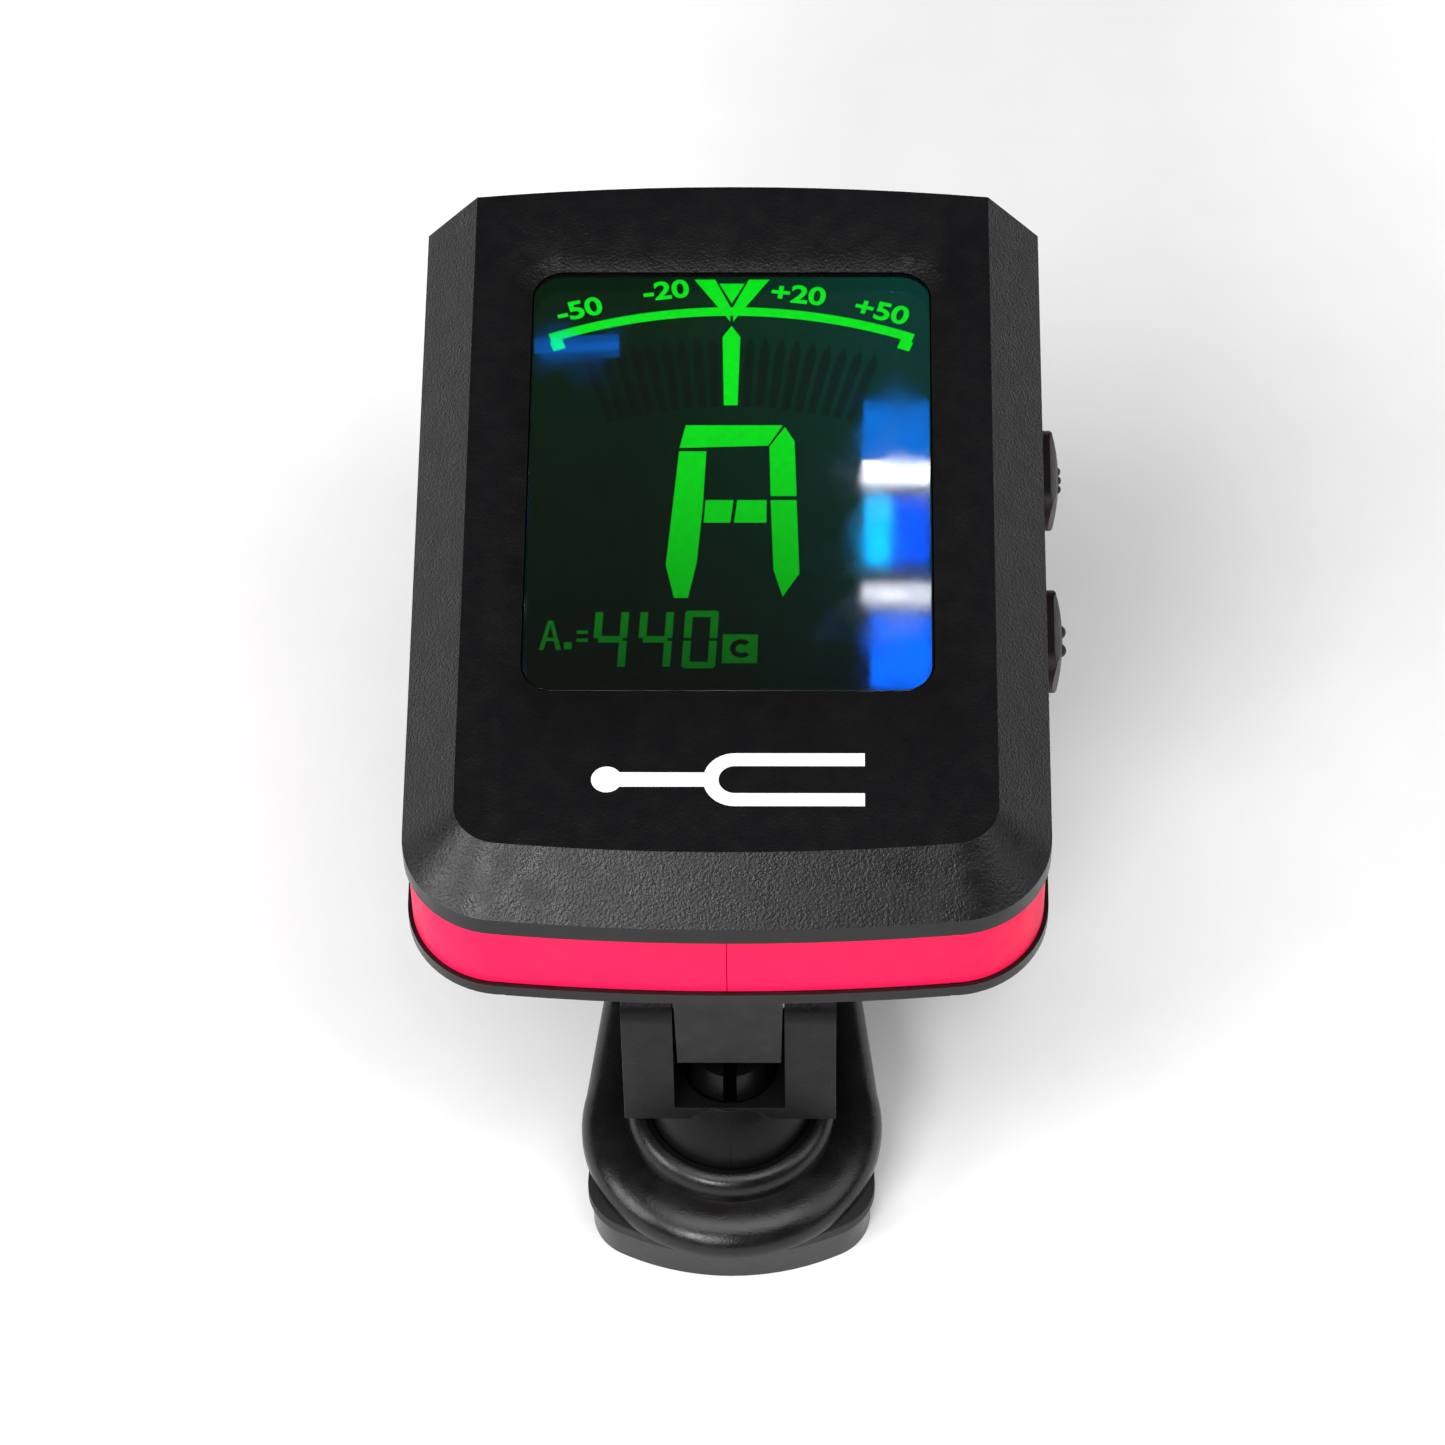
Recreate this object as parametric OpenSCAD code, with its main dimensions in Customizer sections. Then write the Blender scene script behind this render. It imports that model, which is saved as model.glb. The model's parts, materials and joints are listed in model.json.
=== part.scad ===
// Clip-on tuner: a tilting, swivelling display head on a sprung clip.
// Millimetres. +Z is up, -Y is the side of the jaw tips, and the origin lies on the
// lower arm's flat underside, straight below the swivel axis.

/* [Head] */
// Width of the head
head_w = 42; // [41:0.5:44]
// Distance from the swivel axis to the head's far end
head_end_y = 53; // [52.8:0.2:55]
// Height of the head's face above the ground
face_z = 41.5; // [41.3:0.1:42]
// Width of the bevel that runs round the face
bevel_w = 3.5; // [3:0.1:3.6]
// Depth of that bevel
bevel_h = 3.74; // [3.6:0.1:4]
// Radius of the head's lower corners
corner_r = 6.5; // [6:0.1:6.8]

/* [Window] */
// Width of the display window
window_w = 27; // [24:0.5:27.5]
// Length of the display window
window_l = 34.8; // [32:0.2:35]
// Corner radius of the window
window_r = 2.2; // [1.5:0.1:3]
// Depth of the lens below the face
lens_drop = 0.5; // [0.3:0.1:0.6]

/* [Buttons] */
// Distance of the upper button's centre from the swivel axis
power_y = 34.2; // [32:0.2:36]
// Distance of the lower button's centre from the swivel axis
mode_y = 20.8; // [18:0.2:22]
// Length of a button
button_l = 7.6; // [6.5:0.1:8]
// Height of a button
button_h = 3.6; // [3:0.1:4]
// How far a button stands out of the head's side
button_out = 1.2; // [0.9:0.1:1.4]

/* [Joints] */
// Height of the tilt pin
tilt_z = 22.2; // [22:0.1:22.4]
// Radius of the tilt pin
tilt_r = 1.2; // [1:0.1:1.4]
// Distance of the clip's pivot from the swivel axis
pivot_y = 24; // [23.8:0.1:24.4]
// Height of the clip's pivot
pivot_z = 9.5; // [9.4:0.1:9.7]
// Radius of the clip's pivot pin
pivot_r = 1.5; // [1.2:0.1:1.6]

/* [Clip] */
// Radius of the upper arm's round front
arm_r = 10.3; // [10:0.1:10.5]
// Height of the upper arm's lower rim
arm_z = 4.6; // [4.6:0.1:4.8]
// Half width of the lower jaw
jaw_half = 9.8; // [9.5:0.1:10]

/* [Hidden] */
$fn = 64;
clear = 0.05;
big = 200;
half_w = head_w / 2;
// Heights of the layers of the head, from the face down
edge_z = face_z - bevel_h;
lip_z = edge_z - 1.61;
rear_top_z = lip_z - 6.22;
rear_z = rear_top_z - 1.43;
wall = 1.6;
roof_z = face_z - 1.9;
inner_bevel = 2.4;
band_inset = 0.3;
band_wall = 1.4;
// Crowned outline of the head
crown_r = 160;
crown_y = -5.2 + crown_r;
end_r = 170;
corner_x = half_w - corner_r;
corner_y = crown_y - sqrt(pow(crown_r - corner_r, 2) - corner_x * corner_x);
// Window
window_y = 28.5;
lens_top = face_z - lens_drop;
lens_step_z = face_z - 1.3;
lens_low_z = face_z - 2.1;
lens_flange = 1.1;
rim_w = 1.4;
rim_h = 0.45;
// Display stack
board_low = rear_z + 5.7;
board_top = board_low + 1;
lcd_top = lens_low_z - 0.1;
lcd_low = lcd_top - 1.7;
// Coin cell, a 20 mm cell 3.2 mm thick
cell_r = 10;
cell_t = 3.2;
cell_y = 30;
cell_z = rear_top_z + 0.27;
cell_rim = 0.4;
nest_r = 12.9;
nest_wall = 1.1;
nest_h = 2.1;
contact_t = 0.25;
contact_half = 2;
// Piezo pickup, a brass disc with a smaller ceramic disc on it
piezo_y = 7.5;
piezo_r = 6;
piezo_t = 0.25;
// Battery door
door_half = 11.9;
door_y = 18;
rail_out = 0.8;
rail_z = rear_z + 0.5;
rail_t = 0.5;
// Screw posts: x and y of each
posts = [[-15.4, 2.4], [15.4, 2.4], [-16.9, 48.2], [16.9, 48.2]];
post_r = 1.9;
screw_r = 0.9;
screw_head_r = 1.7;
// Buttons
button_z = (lip_z + rear_top_z) / 2;
flange_x = half_w - 2.7;
press = 0.5;
// Tilting hinge
tongue_half = 3.65;
tongue_d = 3.4;
tongue_low = tilt_z - 3.5;
ear_in = 3.7;
ear_out = 7.1;
ear_d = 3.7;
ear_top = tilt_z + 4;
ear_corner = 2.2;
bar_z = 12;
bar_top = 13.35;
// Swivel
dome_r = 5.55;
dome_z = 8.2;
dome_low = 7.85;
dome_bend = 8.15;
dome_curve = [for (z = [9:0.7:13.2])
    [dome_r - dome_bend + sqrt(dome_bend * dome_bend - pow(z - dome_z, 2)), z]];
ring_in = 5.65;
seat_z = 7.2;
rivet_r = 2.5;
rivet_seat = 12.4;
rivet_top = 15.4;
rivet_head_r = 4.1;
rivet_head_z = 5.45;
rivet_head_t = 0.8;
slot_half = 0.45;
// Upper arm: where its wide front part ends, and the half width lost by there
root_y = 17.5;
root_in = 2.3;
lever_end = 48;
lever_in = 6.2;
lever_end_w = 13.8;
channel_half = 4.5;
ear_r = 3.3;
// Torsion spring; coil_turn is the angle it is wound through, in degrees
wire_r = 0.6;
coil_r = 2.3;
coil_turn = 1949;
coil_half = 3.3;
// Lower arm
plate_t = 1.8;
side_z = 3.3;
side_t = 1.4;
low_ear_in = 6.5;
low_ear_out = 8.3;
pad_top = 4.3;
pad_end = 10;
// Upper pad, and the grooves of both pads
pad_y = 0.5;
pad_w = 15.2;
pad_r = 5.9;
groove_step = 2;
groove_half = 0.35;
groove_d = 0.45;
// Lower jaw's nose: a broad arc with two corner arcs
nose_r = 17;
nose_corner = 3.5;
nose_x = jaw_half - 0.3 - nose_corner;
nose_y = nose_r - 9 - sqrt(pow(nose_r - nose_corner, 2) - nose_x * nose_x);

// ---- shared shapes ----

// A box from one corner to the opposite one
module block(low, high) {
    translate(low) cube([for (i = [0:2]) high[i] - low[i]]);
}

// A rod along X
module x_rod(x0, x1, y, z, r) {
    translate([x0, y, z]) rotate([0, 90, 0]) cylinder(r = r, h = x1 - x0);
}

// Rectangle with round corners, centred
module round_rect(w, l, r) {
    square([w - 2 * r, l], center = true);
    square([w, l - 2 * r], center = true);
    for (sx = [-1, 1], sy = [-1, 1])
        translate([sx * (w / 2 - r), sy * (l / 2 - r)]) circle(r = r);
}

// Round-cornered rectangle that flares outwards by grow over its height
module flared_rect(w, l, r, h, grow) {
    for (sx = [-1, 1], sy = [-1, 1])
        translate([sx * (w / 2 - r), sy * (l / 2 - r), 0]) cylinder(r1 = r, r2 = r + grow, h = h);
    translate([0, l / 2 - r, 0]) rotate([90, 0, 0]) linear_extrude(l - 2 * r)
        polygon([[-w / 2, 0], [w / 2, 0], [w / 2 + grow, h], [-w / 2 - grow, h]]);
    translate([r - w / 2, 0, 0]) rotate([90, 0, 90]) linear_extrude(w - 2 * r)
        polygon([[-l / 2, 0], [l / 2, 0], [l / 2 + grow, h], [-l / 2 - grow, h]]);
}

// Plan of the head, set in from the outer wall
module head_plan(inset) {
    intersection() {
        union() {
            translate([-half_w + inset, corner_y]) square([head_w - 2 * inset, head_end_y]);
            for (s = [-1, 1]) translate([s * corner_x, corner_y]) circle(r = corner_r - inset);
            intersection() {
                translate([0, crown_y]) circle(r = crown_r - inset, $fn = 720);
                translate([-corner_x, -10]) square([2 * corner_x, 20]);
            }
        }
        translate([0, head_end_y - end_r]) circle(r = end_r - inset, $fn = 720);
    }
}

module head_slab(inset, z0, z1) {
    translate([0, 0, z0]) linear_extrude(z1 - z0) head_plan(inset);
}

// The bevelled part of the head: full width at z0, narrower by run at z1
module bevel_slab(inset, z0, z1, run) {
    w0 = half_w - inset;
    r0 = crown_r - inset;
    intersection() {
        union() {
            translate([0, corner_y, 0]) rotate([90, 0, 180]) linear_extrude(head_end_y)
                polygon([[-w0, z0], [w0, z0], [w0 - run, z1], [run - w0, z1]]);
            for (s = [-1, 1]) translate([s * corner_x, corner_y, z0])
                cylinder(r1 = corner_r - inset, r2 = corner_r - inset - run, h = z1 - z0);
            intersection() {
                translate([0, crown_y, z0]) cylinder(r1 = r0, r2 = r0 - run, h = z1 - z0, $fn = 720);
                block([-corner_x, -10, z0], [corner_x, 10, z1]);
            }
        }
        translate([0, head_end_y - end_r, z0])
            cylinder(r = end_r - inset, h = z1 - z0, $fn = 720);
    }
}

// ---- clip, lower half ----

// Plan of the lower arm, set in from its edge
module low_plan(inset) {
    w = jaw_half - 0.3 - inset;
    tip_x = nose_x * (nose_r - inset) / (nose_r - nose_corner);
    intersection() {
        translate([0, nose_r - 9]) circle(r = nose_r - inset, $fn = 180);
        translate([-tip_x, -10]) square([2 * tip_x, 10]);
    }
    for (s = [-1, 1]) translate([s * nose_x, nose_y]) circle(r = nose_corner - inset);
    polygon([[-w, nose_y], [w, nose_y], [w - 0.2, 0], [w - 1, 10], [low_ear_out - inset, pivot_y],
             [7.6 - inset, 42], [inset - 7.6, 42], [inset - low_ear_out, pivot_y], [1 - w, 10],
             [0.2 - w, 0]]);
    translate([0, 40]) round_rect(15.2 - 2 * inset, 14 - 2 * inset, 5 - inset);
}

module lower_arm() color("#1b1b1d") {
    difference() {
        union() {
            linear_extrude(plate_t) low_plan(0);
            translate([0, 0, plate_t]) linear_extrude(side_z - plate_t) difference() {
                low_plan(0);
                difference() {
                    low_plan(side_t);
                    translate([-big / 2, -big]) square([big, big + pad_end]);
                }
            }
            for (s = [-1, 1]) {
                x0 = s > 0 ? low_ear_in : -low_ear_out;
                x_rod(x0, x0 + low_ear_out - low_ear_in, pivot_y, pivot_z, ear_r);
                block([x0, pivot_y - ear_r, plate_t],
                      [x0 + low_ear_out - low_ear_in, pivot_y + ear_r, pivot_z]);
            }
            block([-1.6, 38, plate_t], [-0.7, 42, 3.2]);
            block([0.7, 38, plate_t], [1.6, 42, 3.2]);
        }
        x_rod(-big / 2, big / 2, pivot_y, pivot_z, pivot_r + clear / 2);
    }
}

module lower_jaw_pad() color("#2a2a2c") difference() {
    translate([0, 0, side_z]) linear_extrude(pad_top - side_z) intersection() {
        low_plan(-0.3);
        translate([-big / 2, -big]) square([big, big + pad_end - 0.4]);
    }
    for (y = [-6:groove_step:8])
        block([-7.5, y - groove_half, pad_top - groove_d], [7.5, y + groove_half, pad_top + 1]);
}

module clip_hinge_pin() color("silver") {
    x_rod(-low_ear_out - 0.1, low_ear_out + 0.1, pivot_y, pivot_z, pivot_r);
    for (s = [-1, 1]) {
        x0 = s > 0 ? low_ear_out + clear : -low_ear_out - clear - 0.6;
        x_rod(x0, x0 + 0.6, pivot_y, pivot_z, pivot_r + 0.7);
    }
}

// Path of the spring's wire: lower leg, coil, upper leg
function coil_point(t) = let (a = -100 - t * coil_turn)
    [-coil_half + 2 * coil_half * t, pivot_y + coil_r * cos(a), pivot_z + coil_r * sin(a)];
coil_steps = 100;
spring_path = concat([[-coil_half, 41, 2.6], [-coil_half, 33, 3.2]],
                     [for (i = [0:coil_steps]) coil_point(i / coil_steps)],
                     [[coil_half, 32, 13.4], [coil_half, 40, 15]]);

// Sweeps a round wire along a path of points
function unit(v) = v / norm(v);
function tangent(p, i) = unit(p[min(i + 1, len(p) - 1)] - p[max(i - 1, 0)]);
module sweep(path, r, sides) {
    n = len(path);
    points = [for (i = [0:n - 1]) let (t = tangent(path, i), u = unit([1, 0, 0] - t * t[0]),
              v = cross(t, u)) for (k = [0:sides - 1])
              path[i] + r * (cos(360 * k / sides) * u + sin(360 * k / sides) * v)];
    walls = [for (i = [0:n - 2], k = [0:sides - 1]) let (j = (k + 1) % sides)
             [i * sides + k, (i + 1) * sides + k, (i + 1) * sides + j, i * sides + j]];
    ends = [[for (k = [0:sides - 1]) k], [for (k = [sides - 1:-1:0]) (n - 1) * sides + k]];
    polyhedron(points, concat(walls, ends));
}

module torsion_spring() color("silver") sweep(spring_path, wire_r, 8);

// ---- clip, upper half ----

// A thin cross-section of the arm across its length, from a half outline [x, z]
module section(y, half) {
    right = [for (p = half) p];
    left = [for (i = [len(half) - 1:-1:0]) [-half[i][0], half[i][1]]];
    translate([0, y, 0]) rotate([90, 0, 0]) linear_extrude(0.2) polygon(concat(right, left));
}

// A quarter roll from its foot at (r1, z1) up to its crest at (r0, z0), moved in by d
function roll(r0, z0, r1, z1, d) = [for (a = [90:-15:0])
    [r0 + (r1 - r0) * sin(a) - d, z1 + (z0 - z1) * cos(a)]];
function low_tier(d) = concat([[arm_r - d, arm_z]], roll(7.2, 6.9, arm_r, 4.9, d));
function high_tier(d) = concat([[7.2 - d, arm_z]], roll(6.1, 8.7, 7.2, 7.1, d));

// One tier of the arm, tapering back from the swivel axis
module arm_tier(front, back) hull() {
    section(0.2, front);
    section(root_y, back);
}

module upper_arm() color("#1b1b1d") {
    difference() {
        union() {
            rotate_extrude() polygon(concat([[0, arm_z]], low_tier(0), roll(6.1, 8.7, 7.2, 7.1, 0),
                                     [[5.6, 8.55], [0, 8.55]]));
            arm_tier(low_tier(0), low_tier(root_in));
            arm_tier(high_tier(0), high_tier(root_in));
            hull() {
                section(13, [[lever_in, arm_z], [lever_in, 6.9], [5.2, 8.6]]);
                section(22, [[lever_in, 7], [lever_in, 12.6], [5.2, 14.2]]);
            }
            intersection() {
                hull() {
                    section(22, [[lever_in, 7], [lever_in, 12.6], [5.2, 14.2]]);
                    section(lever_end + 1, [[6.9, 15.6], [6.9, 18.6], [5.8, 20]]);
                }
                union() {
                    block([-8, 20, 0], [8, lever_end - 6, 30]);
                    translate([0, lever_end - 8, 0]) linear_extrude(30) round_rect(lever_end_w, 16, 5);
                }
            }
            x_rod(-lever_in, lever_in, pivot_y, pivot_z, ear_r);
        }
        hull() {
            section(26, [[channel_half, 3], [channel_half, 13]]);
            section(lever_end - 2, [[channel_half + 0.9, 3], [channel_half + 0.9, 17.3]]);
        }
        block([-channel_half, 19.9, 3], [channel_half, 28.1, 10.4]);
        x_rod(-channel_half, channel_half, pivot_y, pivot_z, 4.1);
        x_rod(-big / 2, big / 2, pivot_y, pivot_z, pivot_r + clear);
        translate([0, 0, seat_z]) cylinder(r = ring_in, h = 10);
        cylinder(r = rivet_r + clear, h = 20);
        translate([0, 0, arm_z - 1]) cylinder(r = rivet_head_r + 2 * clear, h = 2.7);
        translate([0, pad_y, arm_z - 1]) linear_extrude(1.8)
            round_rect(pad_w + 0.2, pad_w + 0.2, pad_r + 0.1);
        for (y = [36:2.4:45]) x_rod(-10, 10, y, 20.5 - (lever_end - y) * 0.215, 0.75);
    }
}

module upper_jaw_pad() color("#2a2a2c") difference() {
    translate([0, pad_y, pad_top + clear]) linear_extrude(arm_z + 0.75 - pad_top)
        round_rect(pad_w, pad_w, pad_r);
    for (y = [-5:groove_step:7])
        block([-6, y - groove_half, 0], [6, y + groove_half, pad_top + groove_d]);
}

module swivel_rivet() color("#8a8d91") difference() {
    union() {
        translate([0, 0, rivet_head_z]) cylinder(r = rivet_head_r, h = rivet_head_t);
        translate([0, 0, rivet_head_z]) cylinder(r = rivet_r, h = rivet_seat + clear - rivet_head_z);
        translate([0, 0, rivet_seat + clear])
            cylinder(r1 = rivet_r + 0.6, r2 = rivet_r, h = rivet_top - rivet_seat - clear);
    }
    block([-slot_half, -5, 10.5], [slot_half, 5, 20]);
}

module swivel_washer() color("#d8d4c8") translate([0, 0, seat_z + clear]) difference() {
    cylinder(r = 5.4, h = dome_low - seat_z - 2 * clear);
    translate([0, 0, -1]) cylinder(r = rivet_r + 2 * clear, h = 3);
}

// ---- turntable and fork ----

module ear_profile() {
    r = ear_corner;
    h = ear_top - bar_z;
    translate([-ear_d, 0]) square([2 * ear_d, h - r]);
    translate([r - ear_d, 0]) square([2 * (ear_d - r), h]);
    for (s = [-1, 1]) translate([s * (ear_d - r), h - r]) circle(r = r);
}

module swivel_fork() color("#1b1b1d") difference() {
    union() {
        for (x = [-ear_out, ear_in]) translate([x, 0, bar_z]) rotate([90, 0, 90])
            linear_extrude(ear_out - ear_in) ear_profile();
        block([-ear_out, -ear_d, bar_z], [ear_out, ear_d, bar_top]);
        rotate_extrude() polygon(concat([[0, dome_z], [dome_r, dome_z]], dome_curve, [[0, 13.2]]));
        translate([0, 0, dome_low]) cylinder(r = dome_r, h = dome_z - dome_low);
    }
    cylinder(r = rivet_r + clear, h = 30);
    translate([0, 0, rivet_seat]) cylinder(r = 3.3, h = 5);
    x_rod(-10, 10, 0, tilt_z, tilt_r + clear / 2);
}

module tilt_pin() color("silver") x_rod(-ear_out + 0.1, ear_out - 0.1, 0, tilt_z, tilt_r);

// ---- head shells ----

module rear_cover() color("#1b1b1d") difference() {
    union() {
        difference() {
            union() {
                head_slab(0, rear_z + 0.4, rear_top_z);
                bevel_slab_down(rear_z, rear_z + 0.4, 0.4);
            }
            block([-door_half - rail_out - clear, door_y, rail_z - clear],
                  [door_half + rail_out + clear, big, rail_z + rail_t + clear]);
        }
        translate([0, tongue_d, 0]) rotate([90, 0, 0]) linear_extrude(2 * tongue_d)
            polygon([[-tongue_half, rear_z + 0.2], [tongue_half, rear_z + 0.2],
                     [tongue_half - 0.2, tongue_low], [0.2 - tongue_half, tongue_low]]);
        translate([0, cell_y, rear_top_z - 0.1]) rotate([0, 0, 130])
            rotate_extrude(angle = 280) translate([nest_r, 0]) square([nest_wall, nest_h]);
    }
    block([-door_half - clear, door_y, rear_z - 1],
          [door_half + clear, big, rear_top_z + clear]);
    x_rod(-10, 10, 0, tilt_z, tilt_r + clear);
    for (p = posts) translate([p[0], p[1], rear_z - 1]) {
        cylinder(r = screw_r + 0.2, h = 4);
        cylinder(r = screw_head_r + 0.15, h = 1.85);
    }
}

// The rear edge's small chamfer, narrower below
module bevel_slab_down(z0, z1, run) {
    translate([0, 0, z0 + z1]) mirror([0, 0, 1]) bevel_slab(0, z0, z1, run);
}

module front_cover() color("#1b1b1d") difference() {
    union() {
        difference() {
            union() {
                head_slab(0, lip_z, edge_z);
                bevel_slab(0, edge_z, face_z, bevel_w);
            }
            head_slab(wall, lip_z - 1, roof_z - inner_bevel);
            bevel_slab(wall, roof_z - inner_bevel, roof_z, inner_bevel);
        }
        for (p = posts) translate([p[0], p[1], rear_top_z + clear])
            cylinder(r = post_r, h = roof_z - rear_top_z);
    }
    translate([0, window_y, 0]) {
        linear_extrude(big) round_rect(window_w, window_l, window_r);
        linear_extrude(lens_step_z)
            round_rect(window_w + 2 * lens_flange, window_l + 2 * lens_flange, window_r);
        translate([0, 0, face_z - rim_h]) flared_rect(window_w, window_l, window_r, rim_h, rim_w);
    }
    for (p = posts) translate([p[0], p[1], 0]) cylinder(r = screw_r + clear / 2, h = lip_z + 1);
}

// The plunger of a side button, grown by g all round, without its flange
module button_stem(y, x0, x1, g) {
    translate([x0, y, button_z]) rotate([90, 0, 90]) linear_extrude(x1 - x0)
        round_rect(button_l + 2 * g, button_h + 2 * g, button_h / 2 + g - 0.01);
}

// Half of the coloured band; side is -1 for the left half
module band_half(side) {
    difference() {
        head_slab(band_inset, rear_top_z + clear, lip_z - clear);
        head_slab(band_inset + band_wall, 0, big);
        translate([side > 0 ? -big : -0.03, -big / 2, 0]) cube([big + 0.03, big, big]);
        if (side > 0) for (y = [power_y, mode_y]) button_stem(y, 10, 30, clear);
    }
}

module band_left() color("#ff235a") band_half(-1);
module band_right() color("#ff235a") band_half(1);

module display_window() color("#0a0d0c", 0.5) translate([0, window_y, 0]) {
    translate([0, 0, lens_step_z - 0.1]) linear_extrude(lens_top - lens_step_z + 0.1)
        round_rect(window_w - 2 * clear, window_l - 2 * clear, window_r - clear);
    translate([0, 0, lens_low_z]) linear_extrude(lens_step_z - lens_low_z - clear)
        round_rect(window_w + 2 * lens_flange - 0.2, window_l + 2 * lens_flange - 0.2, window_r);
}

// ---- display stack and electronics ----

module lcd_panel() color("#10241a")
    block([-14, window_y - 17.9, lcd_low], [14, window_y + 17.9, lcd_top]);

module lcd_holder() color("#e8e8e4") difference() {
    block([-15, window_y - 18.9, board_top + clear], [15, window_y + 18.45, lcd_top - 0.2]);
    block([-14.1, window_y - 18, 0], [14.1, window_y + 18, big]);
}

module backlight_plate() color("#e9ffe9")
    block([-13.6, window_y - 15.8, board_top + 0.6], [13.6, window_y + 15.6, lcd_low - clear]);

module backlight_leds() color("#f4f1c8") for (s = [-1, 1])
    block([s * 6 - 1.4, window_y + 15.8, board_top + clear],
          [s * 6 + 1.4, window_y + 17.2, board_top + 1.6]);

module zebra_strip() color("#39393c")
    block([-12.5, window_y - 17.6, board_top + clear], [12.5, window_y - 16.1, lcd_low - clear]);

module circuit_board() color("#0b5a2c")
    block([-17.5, 5.2, board_low], [17.5, window_y + 18.3, board_top]);

module controller_chip() color("#151515")
    block([-3.5, 7.5, board_low - 1.1], [3.5, 14.5, board_low - clear]);

module quartz_crystal() color("silver")
    x_rod(5, 11, 43.6, board_low - 1.05, 1);

module push_switch(y) {
    block([13.6, y - 2.2, board_low - 2], [flange_x - 1.2, y + 2.2, board_low - clear]);
    block([flange_x - 1.25, y - 0.8, board_low - 1.6],
          [flange_x - press - 0.1, y + 0.8, board_low - 0.6]);
}

module power_switch() color("#c9c9c9") push_switch(power_y);
module mode_switch() color("#c9c9c9") push_switch(mode_y);

// A side button: inner flange, stem and domed outer end
module side_button(y) {
    intersection() {
        button_stem(y, flange_x + 0.3, half_w + button_out, 0);
        translate([half_w + button_out - 10, y, 0]) cylinder(r = 10, h = big);
        translate([half_w + button_out - 3, 0, button_z]) rotate([-90, 0, 0])
            cylinder(r = 3, h = big);
    }
    block([flange_x, y - button_l / 2 - 0.7, button_z - button_h / 2 - 0.4],
          [flange_x + 0.8, y + button_l / 2 + 0.7, button_z + button_h / 2 + 0.4]);
}

module power_button() color("#1b1b1d") side_button(power_y);
module mode_button() color("#1b1b1d") side_button(mode_y);

module piezo_disc() color("#c8a24a") translate([0, piezo_y, rear_top_z + clear]) {
    cylinder(r = piezo_r, h = piezo_t);
    translate([0, 0, piezo_t]) cylinder(r = 0.7 * piezo_r, h = piezo_t);
}

module piezo_leads() color("#c23b2e") for (s = [-1, 1])
    translate([s * (piezo_r - 1), piezo_y, rear_top_z + piezo_t + 2 * clear])
        cylinder(r = 0.35, h = board_low - rear_top_z - piezo_t - 3 * clear);

module coin_cell() color("silver") translate([0, cell_y, cell_z]) {
    cylinder(r = cell_r, h = cell_t - cell_rim);
    translate([0, 0, cell_t - cell_rim]) cylinder(r = cell_r - 3 * cell_rim, h = cell_rim);
}

module battery_contact_positive() color("#d6c27a")
    translate([0, cell_y, cell_z + 0.3]) rotate([0, 0, 45])
        rotate_extrude(angle = 70) translate([cell_r + clear, 0])
            square([contact_t, board_low - cell_z - 0.3 - clear]);

module battery_contact_negative() color("#d6c27a") {
    z = cell_z + cell_t + clear;
    block([-contact_half, cell_y - 8, z], [contact_half, cell_y + 8, z + contact_t]);
    block([-contact_half, cell_y - 8, z + contact_t],
          [contact_half, cell_y - 6.5, board_low - clear]);
}

module battery_door() color("#1b1b1d") difference() {
    union() {
        intersection() {
            head_slab(0.05, rear_z + 0.05, rear_top_z - 0.05);
            block([-door_half, door_y + clear, 0], [door_half, big, big]);
        }
        block([-door_half - rail_out, door_y + clear, rail_z],
              [door_half + rail_out, head_end_y - 6, rail_z + rail_t]);
    }
    for (y = [22:1.6:31]) x_rod(-6, 6, y, rear_z - 0.3, 0.7);
}

module case_screws() color("silver") for (p = posts) translate([p[0], p[1], rear_z]) difference() {
    union() {
        translate([0, 0, 0.1]) cylinder(r = screw_head_r, h = 0.7);
        translate([0, 0, 0.8]) cylinder(r = screw_r, h = 7);
    }
    for (a = [0, 90]) rotate([0, 0, a]) block([-1, -0.2, -1], [1, 0.2, 0.5]);
}

lower_arm();
lower_jaw_pad();
clip_hinge_pin();
torsion_spring();
upper_arm();
upper_jaw_pad();
swivel_rivet();
swivel_washer();
swivel_fork();
tilt_pin();
rear_cover();
front_cover();
band_left();
band_right();
display_window();
lcd_panel();
lcd_holder();
backlight_plate();
backlight_leds();
zebra_strip();
circuit_board();
controller_chip();
quartz_crystal();
power_switch();
mode_switch();
power_button();
mode_button();
piezo_disc();
piezo_leads();
coin_cell();
battery_contact_positive();
battery_contact_negative();
battery_door();
case_screws();
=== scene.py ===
"""Clip-on tuner: finished surfaces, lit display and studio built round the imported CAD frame."""
import json
import math

import bmesh
import bpy
from mathutils import Matrix, Vector


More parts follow.
